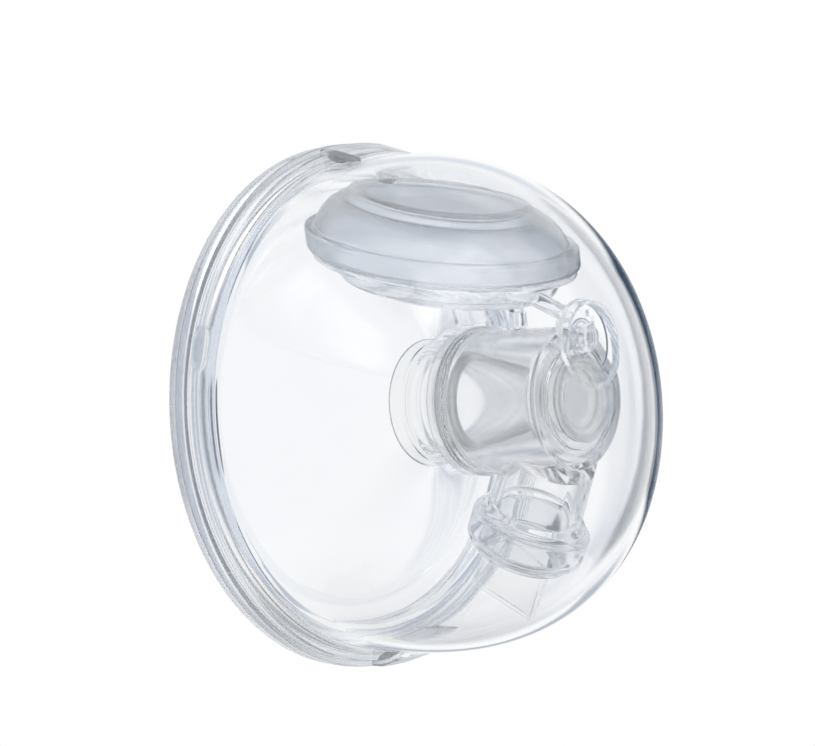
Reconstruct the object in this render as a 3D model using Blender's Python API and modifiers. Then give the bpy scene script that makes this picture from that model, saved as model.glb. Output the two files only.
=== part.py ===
"""Hands-free breast pump collection cup, built as an assembly of separate pieces.

Sizes are in millimetres and are scaled to metres by MM. The cup is in its worn
position: +Z is up and the nose of the shell points along -Y. The origin is the
centre of the rim's back plane. "t" is the distance forward of that plane (-Y).
"""
import math

import bmesh
import bpy
from mathutils import Matrix, Vector

MM = 0.001
GAP = 0.3                      # clearance between pieces that touch

# Outer shell
RIM_R = 60.0                   # outer radius of the rim lip
SHELL_R = 56.2                 # outer radius of the straight skirt
SHELL_WALL = 1.8
SHELL_T0 = 19.5                # where the skirt turns into the nose
NOSE_LENGTH = 51.0
NOSE_POWER = 2.2               # exponent of the nose's superellipse
NOSE_SAG = 8.0                 # how much fuller the lower front is
NOSE_POINTS = 10
SHELL_STEPS = 40
GRIP_HALF = 9.0                # half width of the grip tabs at the top and bottom
GRIP_END = 17.0
BOSS_HALF = (1.6, 2.2, 5.3)    # alignment boss: radially, along t, round the rim
BOSS_ANGLE = 19.0              # degrees above the rim's middle

# Breast shield
FLANGE_T = 1.9
MOUTH_R = 46.5
THROAT_R = 12.4
THROAT_T = 26.0
FUNNEL_POWER = 1.6
SHIELD_WALL = 1.5
TUNNEL_END = 60.8
FUNNEL_POINTS = 7
SPIGOT = (50.4, 52.0, 6.5)     # inner radius, outer radius, front end
TURN_STEPS = 28

# Insert
INSERT_START = 22.0
INSERT_END = 39.5
INSERT_BODY_R = 11.4
INSERT_BORE_R = 10.4
INSERT_RIBS = (26.1, 29.3, 31.5, 34.6, 37.1)

# Connector housing
SLEEVE_OUT = 15.5
SLEEVE_IN = 14.1
SLEEVE_BACK = 35.0
SLEEVE_FRONT = 63.6
FRONT_WALL = 1.5
SOCKET_IN = 15.4
SOCKET_OUT = 16.6
SOCKET_DEPTH = 3.4
WINDOW_HOLE_R = 8.0
WINDOW_R = 9.5

# Valve: its axis leans back from straight down
VALVE_TOP = (48.2, -26.3)      # t, z of the collar's top centre
VALVE_LEAN = 27.0              # degrees
NECK_OUT = 10.4
NECK_IN = 9.0
NECK_END = 6.0
NECK_START = -20.0
COLLAR_OUT = 13.1
COLLAR_LENGTH = 9.0
BILL_ROOT = 9.4
BILL_TIP = 21.0
BILL_WALL = 0.9
BILL_ROOT_HALF = (7.6, 4.6)    # half width fore and aft, half thickness
BILL_TIP_HALF = (8.6, 1.1)
BILL_SET_BACK = 1.1            # how far the tip's middle sits behind the valve's axis

# Diaphragm: its planes tilt forward, and it is sheared so that its stroke is upright
HAT_CENTRE = (31.5, 35.2)      # t, z
HAT_LEAN = 18.5                # degrees
HAT_SHEAR = math.tan(math.radians(HAT_LEAN))
HAT_HALF_X = 36.0
HAT_HALF_Y = 26.2
HAT_INSET_RATIO = 0.6          # inset fore and aft for each unit of inset sideways
OVAL_STEPS = 28
TAB_PLACE = (0.0, 19.6, 9.4)   # the pull tab's foot, in the diaphragm's frame
DUCT_T = 49.6                  # the suction duct stands here

# Air port
PORT_Z = 13.0
PORT_HOLE_R = 9.7
PORT_HOLE_Z = 11.6             # the shell's hole sits a little below the nipple
NIPPLE_R = 3.3
NIPPLE_BORE_R = 1.9
NIPPLE_TIP = 69.3
PORT_BLOCK_T = (64.0, 65.9)
PORT_BLOCK_TOP = 18.8


def collection(name):
    """Return a new collection linked to the scene."""
    made = bpy.data.collections.new(name)
    bpy.context.scene.collection.children.link(made)
    return made


def plastic(name, color, roughness, transmission=0.0, alpha=1.0):
    """Make a Principled material."""
    mat = bpy.data.materials.new(name)
    mat.use_nodes = True
    shader = mat.node_tree.nodes["Principled BSDF"]
    shader.inputs["Base Color"].default_value = (*color, 1.0)
    shader.inputs["Roughness"].default_value = roughness
    shader.inputs["Metallic"].default_value = 0.0
    shader.inputs["Transmission Weight"].default_value = transmission
    shader.inputs["Alpha"].default_value = alpha
    return mat


def clear_plastic(name):
    """Clear moulded copolyester."""
    return plastic(name, (0.88, 0.92, 0.95), 0.05, 0.9, 0.45)


def clear_silicone(name):
    """Clear, slightly cloudy silicone rubber."""
    return plastic(name, (0.82, 0.86, 0.90), 0.3, 0.5, 0.7)


def blue_silicone(name):
    """Blue-grey translucent silicone rubber."""
    return plastic(name, (0.52, 0.58, 0.68), 0.35, 0.3, 0.9)


def milky_silicone(name):
    """Milky white silicone rubber."""
    return plastic(name, (0.80, 0.83, 0.87), 0.4, 0.3, 0.85)


def point(t, z, x=0.0):
    """World position in metres of a point given by x, t and z in millimetres."""
    return Vector((x, -t, z)) * MM


def axis_frame(t, z, tilt):
    """World matrix whose +Z is straight up tilted forward by tilt degrees, at (t, z)."""
    return Matrix.Translation(point(t, z)) @ Matrix.Rotation(math.radians(tilt), 4, "X")


NOSEWARD = Matrix.Rotation(math.radians(90.0), 4, "X")
VALVE_FRAME = axis_frame(*VALVE_TOP, 180.0 + VALVE_LEAN)
HAT_FRAME = axis_frame(*HAT_CENTRE, HAT_LEAN)


def place(mesh, name, frame, material, group):
    """Make a named object from a mesh in a collection, at a world matrix."""
    obj = bpy.data.objects.new(name, mesh)
    obj.matrix_world = frame
    group.objects.link(obj)
    if material:
        mesh.materials.append(material)
    mesh.shade_smooth()
    mesh.set_sharp_from_angle(angle=math.radians(35.0))
    return obj


def outline_mesh(name, outline, closed):
    """Mesh of edges through (radius, height) points in the local XZ plane."""
    mesh = bpy.data.meshes.new(name)
    verts = [(r * MM, 0.0, h * MM) for r, h in outline]
    edges = [(i, i + 1) for i in range(len(verts) - 1)]
    if closed:
        edges.append((len(verts) - 1, 0))
    mesh.from_pydata(verts, edges, [])
    return mesh


def turned(name, outline, frame, material, group, steps=TURN_STEPS):
    """Turn an outline about local Z. It runs down the outer side and up the inner one."""
    closed = min(r for r, _ in outline) > 0.0
    obj = place(outline_mesh(name, outline, closed), name, frame, material, group)
    screw = obj.modifiers.new("Turn", "SCREW")
    screw.angle = math.tau
    screw.steps = steps
    screw.render_steps = steps
    screw.use_merge_vertices = True
    screw.merge_threshold = 0.00001
    screw.use_smooth_shade = True
    return obj


def spun_mesh(name, outline, steps):
    """Spin an outline into a closed mesh whose vertices can then be moved."""
    closed = min(r for r, _ in outline) > 0.0
    mesh = outline_mesh(name, outline, closed)
    work = bmesh.new()
    work.from_mesh(mesh)
    bmesh.ops.spin(work, geom=work.verts[:] + work.edges[:], cent=(0, 0, 0), axis=(0, 0, 1),
                   angle=math.tau, steps=steps, use_merge=True, use_duplicate=False)
    bmesh.ops.remove_doubles(work, verts=work.verts[:], dist=0.00001)
    bmesh.ops.recalc_face_normals(work, faces=work.faces[:])
    work.to_mesh(mesh)
    work.free()
    return mesh


def oval(name, outline, material, group):
    """Sweep (inset, height) points round the hat's oval, and shear them upright.

    An inset is the sideways distance inward from the oval's edge. A point whose
    inset is None lies on the axis.
    """
    rim = 100.0
    rounds = [(0.0 if inset is None else rim - inset, h) for inset, h in outline]
    mesh = spun_mesh(name, rounds, OVAL_STEPS)
    for vert in mesh.vertices:
        radius = math.hypot(vert.co.x, vert.co.y) / MM
        if radius > 0.001:
            inset = rim - radius
            vert.co.x *= (HAT_HALF_X - inset) / radius
            vert.co.y *= (HAT_HALF_Y - inset * HAT_INSET_RATIO) / radius
        vert.co.y += HAT_SHEAR * vert.co.z
    return place(mesh, name, HAT_FRAME, material, group)


def cutter(mesh, name, frame, group):
    """Place a helper mesh that cuts or joins, hidden from the result."""
    obj = place(mesh, name, frame, None, group)
    obj.hide_render = True
    obj.display_type = "WIRE"
    return obj


def rod_mesh(name, radius, low, high, steps=32):
    """Closed cylinder along local Z between two heights."""
    mesh = bpy.data.meshes.new(name)
    work = bmesh.new()
    middle = Matrix.Translation((0.0, 0.0, (low + high) / 2 * MM))
    bmesh.ops.create_cone(work, cap_ends=True, segments=steps, radius1=radius * MM,
                          radius2=radius * MM, depth=(high - low) * MM, matrix=middle)
    work.to_mesh(mesh)
    work.free()
    return mesh


def block_mesh(name, low, high):
    """Closed box between two (x, t, z) corners, in world axes."""
    mesh = bpy.data.meshes.new(name)
    work = bmesh.new()
    bmesh.ops.create_cube(work, size=1.0)
    size = [(b - a) * MM for a, b in zip(low, high)]
    centre = [(a + b) / 2 for a, b in zip(low, high)]
    bmesh.ops.scale(work, vec=size, verts=work.verts)
    bmesh.ops.translate(work, vec=point(centre[1], centre[2], centre[0]), verts=work.verts)
    work.to_mesh(mesh)
    work.free()
    return mesh


def boolean(obj, tool, operation):
    """Add a Boolean modifier with the exact solver."""
    mod = obj.modifiers.new(operation.title(), "BOOLEAN")
    mod.operation = operation
    mod.object = tool
    mod.solver = "EXACT"
    return mod


def bevel(obj, width, segments=2):
    """Round an object's sharp edges."""
    mod = obj.modifiers.new("Bevel", "BEVEL")
    mod.width = width * MM
    mod.segments = segments
    mod.limit_method = "ANGLE"
    mod.angle_limit = math.radians(40.0)
    return mod


def nose_curve(radius, length):
    """Superellipse from the skirt's end to the nose, as (radius, t) points."""
    points = []
    for i in range(NOSE_POINTS + 1):
        angle = math.pi / 2 * i / NOSE_POINTS
        r = radius * max(math.cos(angle), 0.0) ** (2 / NOSE_POWER)
        t = SHELL_T0 + length * math.sin(angle) ** (2 / NOSE_POWER)
        points.append((r if i < NOSE_POINTS else 0.0, t))
    return points


def sag(mesh):
    """Push the lower front of the shell down, in its turned frame where +Y is up."""
    for vert in mesh.vertices:
        forward = max(vert.co.z / MM - SHELL_T0, 0.0) / NOSE_LENGTH
        radius = math.hypot(vert.co.x, vert.co.y)
        rise = vert.co.y / radius if radius > 1e-6 else 0.0
        vert.co.y -= NOSE_SAG * MM * forward ** 2 * (1.0 - rise) / 2


def grip_tabs(tools):
    """Wedges on the skirt's top and bottom that a thumb pushes to part shell and shield."""
    outline = [(57.0, GRIP_END), (59.8, 8.0), (59.8, 5.0), (55.4, 5.0), (55.4, GRIP_END)]
    ring = turned("grip_ring", outline, NOSEWARD, None, tools, SHELL_STEPS)
    ring.hide_render = True
    ring.display_type = "WIRE"
    span = cutter(block_mesh("grip_span", (-GRIP_HALF, 0, -70), (GRIP_HALF, 30, 70)), "grip_span",
                  Matrix.Identity(4), tools)
    boolean(ring, span, "INTERSECT")
    return ring


def rim_boss(side, tools):
    """Rounded alignment boss on the lip's step, on the left or the right."""
    mesh = bpy.data.meshes.new("rim_boss")
    work = bmesh.new()
    bmesh.ops.create_uvsphere(work, u_segments=14, v_segments=9, radius=MM)
    bmesh.ops.scale(work, vec=BOSS_HALF, verts=work.verts)
    work.to_mesh(mesh)
    work.free()
    turn = math.radians(BOSS_ANGLE if side > 0 else 180.0 - BOSS_ANGLE)
    frame = Matrix.Rotation(-turn, 4, "Y") @ Matrix.Translation(Vector((57.6, -6.6, 0.0)) * MM)
    return cutter(mesh, "rim_boss", frame, tools)


def outer_shell(group, tools):
    """Clear reservoir shell with a stepped rim lip and a round hole for the air port."""
    inner_r = SHELL_R - SHELL_WALL
    outside = list(reversed(nose_curve(SHELL_R, NOSE_LENGTH)))
    lip = [(SHELL_R, 9.6), (SHELL_R + 0.7, 7.4), (58.4, 6.5), (58.6, 4.5),
           (RIM_R - 0.3, 4.3), (RIM_R, 4.0), (RIM_R, 2.5), (RIM_R - 0.3, 2.2), (inner_r, 2.2)]
    inside = nose_curve(inner_r, NOSE_LENGTH - SHELL_WALL)
    mesh = spun_mesh("outer_shell", outside + lip + inside, SHELL_STEPS)
    sag(mesh)
    shell = place(mesh, "outer_shell", NOSEWARD, clear_plastic("clear_shell"), group)
    hole = cutter(rod_mesh("port_hole", PORT_HOLE_R, 55.0, 80.0, 40), "port_hole",
                  Matrix.Translation(point(0.0, PORT_HOLE_Z)) @ NOSEWARD, tools)
    boolean(shell, hole, "DIFFERENCE")
    for tool in (grip_tabs(tools), rim_boss(-1, tools), rim_boss(1, tools)):
        boolean(shell, tool, "UNION")
    return shell


def port_grommet(group):
    """Silicone ring that lines the shell's port hole."""
    outline = [(9.4, 69.5), (9.4, 66.5), (8.5, 66.3), (8.5, 69.8), (9.1, 69.8)]
    frame = Matrix.Translation(point(0.0, PORT_HOLE_Z)) @ NOSEWARD
    return turned("port_grommet", outline, frame, clear_silicone("grommet_silicone"), group)


def funnel_radius(t):
    """Inner radius of the breast shield's funnel at a distance forward of the rim."""
    left = max(1.0 - t / THROAT_T, 0.0)
    return THROAT_R + (MOUTH_R - THROAT_R) * left ** FUNNEL_POWER


def funnel_side(t):
    """Point on the funnel's outer side, one wall thickness out from its inner side."""
    step = 0.01
    slope = (funnel_radius(t + step) - funnel_radius(t)) / step
    length = math.hypot(1.0, slope)
    return funnel_radius(t) + SHIELD_WALL / length, t - SHIELD_WALL * slope / length


def breast_shield(group):
    """Clear funnel with a flat back flange, a sealing spigot and a long tunnel."""
    stations = [THROAT_T * (i / FUNNEL_POINTS) ** 0.9 for i in range(FUNNEL_POINTS + 1)]
    tunnel_out = THROAT_R + SHIELD_WALL
    outside = [(tunnel_out - 0.4, TUNNEL_END), (tunnel_out, TUNNEL_END - 0.5)]
    outside += [funnel_side(t) for t in reversed(stations[1:])]
    inner_ring, outer_ring, spigot_end = SPIGOT
    flange = [(MOUTH_R + 1.2, FLANGE_T), (inner_ring, FLANGE_T), (inner_ring, spigot_end),
              (outer_ring, spigot_end), (outer_ring, FLANGE_T), (RIM_R - 0.6, FLANGE_T),
              (RIM_R - 0.2, FLANGE_T - 0.4), (RIM_R - 0.2, 0.4), (RIM_R - 0.6, 0.0)]
    inside = [(funnel_radius(t), t) for t in stations] + [(THROAT_R, TUNNEL_END)]
    return turned("breast_shield", outside + flange + inside, NOSEWARD,
                  clear_plastic("clear_shield"), group, SHELL_STEPS)


def rim_gasket(group):
    """Silicone gasket between the shield's spigot and the shell's mouth."""
    low, high = SPIGOT[1] + GAP, SHELL_R - SHELL_WALL - GAP
    outline = [(high - 0.4, 6.2), (high, 5.4), (high - 0.4, 4.2), (high, 3.0), (high - 0.4, 2.3),
               (low, 2.3), (low, 6.2)]
    return turned("rim_gasket", outline, NOSEWARD, clear_silicone("gasket_silicone"), group,
                  SHELL_STEPS)


def flange_insert(group):
    """Milky silicone sizing insert inside the tunnel, with five sealing ribs."""
    outside = [(INSERT_BODY_R, INSERT_END)]
    for t in reversed(INSERT_RIBS):
        outside += [(INSERT_BODY_R, t + 0.7), (THROAT_R - GAP, t), (INSERT_BODY_R, t - 0.7)]
    outside += [(11.9, 23.8), (funnel_radius(INSERT_START) - 0.5, INSERT_START)]
    inside = [(funnel_radius(INSERT_START) - 1.2, INSERT_START - 0.2), (INSERT_BORE_R + 0.3, 24.0),
              (INSERT_BORE_R, 25.5), (INSERT_BORE_R, INSERT_END)]
    return turned("flange_insert", outside + inside, NOSEWARD, milky_silicone("insert_silicone"),
                  group)


def tunnel_oring(group):
    """O-ring between the shield's tunnel and the housing's rear socket."""
    radius, centre_r = 0.55, (THROAT_R + SHIELD_WALL + SOCKET_IN) / 2
    centre_t = SLEEVE_BACK + SOCKET_DEPTH - GAP - radius - 0.4
    outline = [(centre_r + radius * math.cos(a), centre_t - radius * math.sin(a))
               for a in (math.tau * i / 6 for i in range(6))]
    return turned("tunnel_oring", outline, NOSEWARD, blue_silicone("oring_silicone"), group)


def connector_housing(group, tools):
    """Clear sleeve over the tunnel, with a neck that leans back to the valve."""
    socket_end = SLEEVE_BACK + SOCKET_DEPTH
    outside = [(0.0, SLEEVE_FRONT), (SLEEVE_OUT - 0.5, SLEEVE_FRONT),
               (SLEEVE_OUT, SLEEVE_FRONT - 0.5), (SLEEVE_OUT, socket_end + 2.4),
               (SOCKET_OUT, socket_end + 1.2), (SOCKET_OUT, SLEEVE_BACK), (0.0, SLEEVE_BACK)]
    housing = turned("connector_housing", outside, NOSEWARD, clear_plastic("clear_housing"), group)
    neck_outline = [(0.0, NECK_END), (NECK_OUT, NECK_END), (NECK_OUT, 0.0), (NECK_OUT + 1.2, -GAP),
                    (NECK_OUT + 1.2, -1.5), (NECK_OUT, -2.6), (NECK_OUT - 1.0, NECK_START),
                    (0.0, NECK_START)]
    neck = turned("neck_outer", neck_outline, VALVE_FRAME, None, tools)
    front = cutter(block_mesh("neck_front", (-30, SLEEVE_FRONT, -40), (30, 90, 0)), "neck_front",
                   Matrix.Identity(4), tools)
    boolean(neck, front, "DIFFERENCE")
    core = [(0.0, SLEEVE_FRONT - FRONT_WALL), (SLEEVE_IN, SLEEVE_FRONT - FRONT_WALL),
            (SLEEVE_IN, socket_end), (SOCKET_IN, socket_end), (SOCKET_IN, SLEEVE_BACK - 1.0),
            (0.0, SLEEVE_BACK - 1.0)]
    bore = turned("sleeve_bore", core, NOSEWARD, None, tools)
    drain = turned("neck_bore", [(0.0, NECK_END + 1), (NECK_IN, NECK_END + 1), (NECK_IN - 0.6, -13.2),
                                 (0.0, -13.2)], VALVE_FRAME, None, tools)
    window = cutter(rod_mesh("window_hole", WINDOW_HOLE_R, 55.0, 70.0), "window_hole", NOSEWARD,
                    tools)
    inlet = cutter(rod_mesh("duct_hole", 1.3, 8.0, 20.0, 12), "duct_hole",
                   Matrix.Translation(point(DUCT_T, 0.0)), tools)
    for tool in (neck, bore, drain):
        tool.hide_render = True
        tool.display_type = "WIRE"
    boolean(housing, neck, "UNION")
    for tool in (bore, drain, window, inlet):
        boolean(housing, tool, "DIFFERENCE")
    return housing


def front_window(group):
    """Clear plug that closes the housing's front, so that the tunnel can be seen."""
    cap = SLEEVE_FRONT + 0.3 + 0.4 + GAP
    outline = [(0.0, cap + 0.9), (WINDOW_R - 0.3, cap + 0.9), (WINDOW_R, cap + 0.6),
               (WINDOW_R, cap), (WINDOW_HOLE_R - GAP, cap), (WINDOW_HOLE_R - GAP, 60.2),
               (WINDOW_HOLE_R - 1.3, 60.2), (WINDOW_HOLE_R - 1.3, cap - 0.2), (0.0, cap - 0.2)]
    return turned("front_window", outline, NOSEWARD, clear_plastic("clear_window"), group)


def window_seal(group):
    """Flat silicone washer under the window's rim."""
    back = SLEEVE_FRONT + GAP
    inner = WINDOW_HOLE_R
    outline = [(WINDOW_R - 0.1, back + 0.4), (WINDOW_R - 0.1, back), (inner, back),
               (inner, back + 0.4)]
    return turned("window_seal", outline, NOSEWARD, blue_silicone("seal_silicone"), group)


def valve_collar(group):
    """Silicone collar that grips the neck and carries the duckbill's two lips."""
    inner = NECK_OUT + GAP
    outline = [(COLLAR_OUT - 0.6, 0.0), (inner, 0.0), (inner, NECK_END + GAP), (8.6, 6.9),
               (7.3, COLLAR_LENGTH), (COLLAR_OUT - 2.6, COLLAR_LENGTH),
               (COLLAR_OUT - 0.4, COLLAR_LENGTH - 1.4), (COLLAR_OUT, COLLAR_LENGTH - 3.0),
               (COLLAR_OUT, 0.6)]
    return turned("valve_collar", outline, VALVE_FRAME, clear_silicone("valve_silicone"), group)


def valve_lip(side, name, material, group):
    """One lip of the duckbill: a bowed sheet that is thick at its root and flat at its tip."""
    across, along = 8, 6
    work = bmesh.new()
    bmesh.ops.create_grid(work, x_segments=across, y_segments=along, size=0.5)
    for vert in work.verts:
        u, v = vert.co.x * 2.0, vert.co.y + 0.5
        half_wide = BILL_ROOT_HALF[0] * (1 - v) + BILL_TIP_HALF[0] * v
        half_thick = BILL_ROOT_HALF[1] * (1 - v) + BILL_TIP_HALF[1] * v
        angle = u * math.pi / 2
        bulge = max(math.cos(angle), 0.0) ** 0.7
        x = GAP / 2 + BILL_WALL + (half_thick - BILL_WALL) * bulge
        y = half_wide * math.sin(angle) - BILL_SET_BACK * v
        vert.co = Vector((side * x, y, BILL_ROOT + (BILL_TIP - BILL_ROOT) * v))
        vert.co *= MM
    bmesh.ops.recalc_face_normals(work, faces=work.faces[:])
    if sum(face.normal.x for face in work.faces) * side < 0:
        bmesh.ops.reverse_faces(work, faces=work.faces[:])
    hinge = Vector((side * BILL_ROOT_HALF[1] * MM, 0.0, BILL_ROOT * MM))
    bmesh.ops.translate(work, vec=-hinge, verts=work.verts)
    mesh = bpy.data.meshes.new(name)
    work.to_mesh(mesh)
    work.free()
    lip = place(mesh, name, VALVE_FRAME @ Matrix.Translation(hinge), material, group)
    solid = lip.modifiers.new("Thickness", "SOLIDIFY")
    solid.thickness = BILL_WALL * 0.9 * MM
    solid.offset = -1.0
    return lip


def diaphragm_rim(group):
    """Silicone bead clamped on the base, and the foot of the wall that rises from it."""
    outline = [(0.5, 2.3), (0.0, 1.8), (0.0, -1.8), (0.5, -2.3), (2.8, -2.3), (3.1, 1.0),
               (5.4, 4.2), (7.2, 5.6), (7.2, 7.0), (4.8, 5.2), (2.9, 2.9), (2.2, 2.3)]
    return oval("diaphragm_rim", outline, blue_silicone("rim_silicone"), group)


def diaphragm_crown(group, tools):
    """Hat-shaped crown of the diaphragm with a pull tab, which suction draws down."""
    outline = [(None, 7.9), (20.0, 8.5), (17.4, 9.4), (15.4, 10.3), (13.8, 10.4), (12.6, 9.6),
               (11.4, 8.7), (9.8, 8.3), (7.7, 7.3), (7.7, 6.0), (9.8, 6.9), (12.0, 7.3),
               (13.4, 8.4), (14.6, 9.0), (17.4, 8.1), (20.0, 7.2), (None, 6.6)]
    crown = oval("diaphragm_crown", outline, blue_silicone("crown_silicone"), group)
    tab_frame = HAT_FRAME @ Matrix.Translation(Vector(TAB_PLACE) * MM)
    tab = cutter(rod_mesh("crown_tab", 2.6, 0.0, 2.4, 16), "crown_tab", tab_frame, tools)
    boolean(crown, tab, "UNION")
    return crown


def diaphragm_base(group, tools):
    """Clear oval tray under the diaphragm, with a hole down to the suction duct."""
    outline = [(None, -8.4), (10.0, -8.4), (8.0, -7.6), (5.0, -3.8), (1.6, -3.8), (1.2, -3.4),
               (1.2, -3.0), (1.6, -2.6), (6.2, -2.6), (9.0, -6.8), (11.0, -7.2), (None, -7.2)]
    base = oval("diaphragm_base", outline, clear_plastic("clear_base"), group)
    hole = cutter(rod_mesh("base_duct_hole", 1.3, 15.0, 40.0, 12), "base_duct_hole",
                  Matrix.Translation(point(DUCT_T, 0.0)), tools)
    boolean(base, hole, "DIFFERENCE")
    return base


def tube(name, start, end, outer, inner, material, group):
    """Straight hollow tube between two (t, z) points on the middle plane."""
    first, last = point(*start), point(*end)
    length = (last - first).length / MM
    frame = Matrix.Translation(first) @ (last - first).to_track_quat("Z", "Y").to_matrix().to_4x4()
    outline = [(outer, length), (outer, 0.0), (inner, 0.0), (inner, length)]
    return turned(name, outline, frame, material, group, 20)


def air_port(group, tools):
    """Push-on nipple for the pump's tube, on a block that leads up to the air duct."""
    back, front = PORT_BLOCK_T
    low_z = PORT_Z - NIPPLE_R + 0.1
    body = place(block_mesh("air_port", (-6.0, back, low_z), (6.0, front, PORT_BLOCK_TOP)),
                 "air_port", Matrix.Identity(4), clear_plastic("clear_port"), group)
    bevel(body, 1.0)
    frame = Matrix.Translation(point(0.0, PORT_Z)) @ NOSEWARD
    nipple_outline = [(0.0, NIPPLE_TIP), (NIPPLE_R - 0.6, NIPPLE_TIP), (NIPPLE_R, NIPPLE_TIP - 1.2),
                      (NIPPLE_R - 0.5, NIPPLE_TIP - 1.5), (NIPPLE_R - 0.5, front - 0.5),
                      (0.0, front - 0.5)]
    nipple = turned("nipple", nipple_outline, frame, None, tools, 28)
    bore = cutter(rod_mesh("port_bore", NIPPLE_BORE_R, (back + front) / 2, 75.0, 20), "port_bore",
                  frame, tools)
    riser = cutter(rod_mesh("port_riser", 0.6, PORT_Z, PORT_BLOCK_TOP - 0.8, 10), "port_riser",
                   Matrix.Translation(point((back + front) / 2 + 0.2, 0.0)), tools)
    outlet = cutter(rod_mesh("port_outlet", 1.0, back - 2.0, (back + front) / 2 + 0.2, 12),
                    "port_outlet", Matrix.Translation(point(0.0, 17.6)) @ NOSEWARD, tools)
    nipple.hide_render = True
    nipple.display_type = "WIRE"
    boolean(body, nipple, "UNION")
    for tool in (bore, riser, outlet):
        boolean(body, tool, "DIFFERENCE")
    return body


def port_oring(group):
    """O-ring round the nipple's root."""
    radius, centre_r = 0.5, NIPPLE_R + 0.5
    centre_t = PORT_BLOCK_T[1] + GAP + radius
    outline = [(centre_r + radius * math.cos(a), centre_t - radius * math.sin(a))
               for a in (math.tau * i / 6 for i in range(6))]
    frame = Matrix.Translation(point(0.0, PORT_Z)) @ NOSEWARD
    return turned("port_oring", outline, frame, blue_silicone("port_oring_silicone"), group, 24)


def bracket(name, low, high, width, group):
    """Clear rib between the sleeve and the tray, leaning from one (t, z) to another."""
    thick = 0.8
    work = bmesh.new()
    bmesh.ops.create_cube(work, size=1.0)
    for vert in work.verts:
        end = high if vert.co.z > 0 else low
        t = end[0] + (thick if vert.co.y < 0 else -thick)
        vert.co = point(t, end[1], width * vert.co.x)
    mesh = bpy.data.meshes.new(name)
    work.to_mesh(mesh)
    work.free()
    return place(mesh, name, Matrix.Identity(4), clear_plastic("clear_" + name), group)


def build():
    """Build every piece in its own node."""
    for obj in list(bpy.data.objects):
        bpy.data.objects.remove(obj, do_unlink=True)
    group = collection("breast_pump")
    tools = collection("cutters")
    outer_shell(group, tools)
    port_grommet(group)
    breast_shield(group)
    rim_gasket(group)
    flange_insert(group)
    tunnel_oring(group)
    connector_housing(group, tools)
    front_window(group)
    window_seal(group)
    valve_collar(group)
    lip_material = clear_silicone("lip_silicone")
    valve_lip(-1, "valve_lip_left", lip_material, group)
    valve_lip(1, "valve_lip_right", lip_material, group)
    diaphragm_base(group, tools)
    diaphragm_rim(group)
    diaphragm_crown(group, tools)
    tube("suction_duct", (DUCT_T, 15.9), (DUCT_T, 19.2), 1.9, 1.3, clear_plastic("clear_duct"), group)
    tube("air_duct", (62.6, 17.9), (55.0, 21.7), 1.7, 1.1, clear_plastic("clear_air_duct"), group)
    air_port(group, tools)
    port_oring(group)
    bracket("base_bracket_rear", (36.8, 17.0), (35.2, 24.4), 10.0, group)
    bracket("base_bracket_front", (44.6, 15.8), (41.4, 22.4), 4.0, group)


build()
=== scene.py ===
import math

import bmesh
import bpy
from mathutils import Matrix, Vector


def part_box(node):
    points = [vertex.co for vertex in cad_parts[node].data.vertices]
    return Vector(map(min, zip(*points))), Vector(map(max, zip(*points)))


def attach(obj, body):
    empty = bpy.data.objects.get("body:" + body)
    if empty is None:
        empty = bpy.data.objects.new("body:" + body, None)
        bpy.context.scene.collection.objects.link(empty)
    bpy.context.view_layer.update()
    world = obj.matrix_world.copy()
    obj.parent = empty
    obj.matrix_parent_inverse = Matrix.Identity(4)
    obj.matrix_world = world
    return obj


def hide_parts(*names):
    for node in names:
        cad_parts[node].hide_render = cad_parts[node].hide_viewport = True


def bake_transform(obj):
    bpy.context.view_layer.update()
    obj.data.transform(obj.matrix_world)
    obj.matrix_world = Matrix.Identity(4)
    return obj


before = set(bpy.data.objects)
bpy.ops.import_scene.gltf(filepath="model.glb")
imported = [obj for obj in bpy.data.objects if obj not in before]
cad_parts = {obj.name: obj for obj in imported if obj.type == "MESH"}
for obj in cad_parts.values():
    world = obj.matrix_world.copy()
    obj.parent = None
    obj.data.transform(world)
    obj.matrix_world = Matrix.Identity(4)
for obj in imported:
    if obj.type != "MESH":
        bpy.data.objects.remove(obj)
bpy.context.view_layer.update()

# Lengths below are in millimetres. "t" is the distance forward of the rim's back plane (-Y).
MM = 0.001
ROUND = 224              # segments round the large turned pieces
SMALL_ROUND = 72         # segments round the small ones


def box_mm(node):
    """A CAD node's lowest and highest corners in millimetres."""
    low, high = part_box(node)
    return Vector(low) / MM, Vector(high) / MM


SHELL_LOW, SHELL_HIGH = box_mm("outer_shell")
SHIELD_LOW = box_mm("breast_shield")[0]
HOUSING_HIGH = box_mm("connector_housing")[1]
PORT_LOW, PORT_HIGH = box_mm("air_port")
INSERT_LOW, INSERT_HIGH = box_mm("flange_insert")
RIM_R = SHELL_HIGH.x
NOSE_T = -SHELL_LOW.y
LIP_T = -SHELL_HIGH.y

# Outer shell
SHELL_R = 56.2
SHELL_WALL = 1.8
SHELL_T0 = 19.5
NOSE_LENGTH = NOSE_T - SHELL_T0
NOSE_POWER = 2.2
NOSE_SAG = 8.0
PORT_Z = 13.0
PORT_HOLE_R = 9.6
PORT_HOLE_Z = 11.6                # the hole sits a little below the nipple
GRIP_HALF = 9.0                   # half width of the grip tabs at the top and bottom
GRIP_END = 17.0
BOSS_HALF = (1.6, 2.2, 5.3)       # alignment boss: radially, along t, round the rim
BOSS_PLACE = (57.6, 6.6)          # radius, t
BOSS_ANGLE = 19.0                 # degrees above the rim's middle

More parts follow.
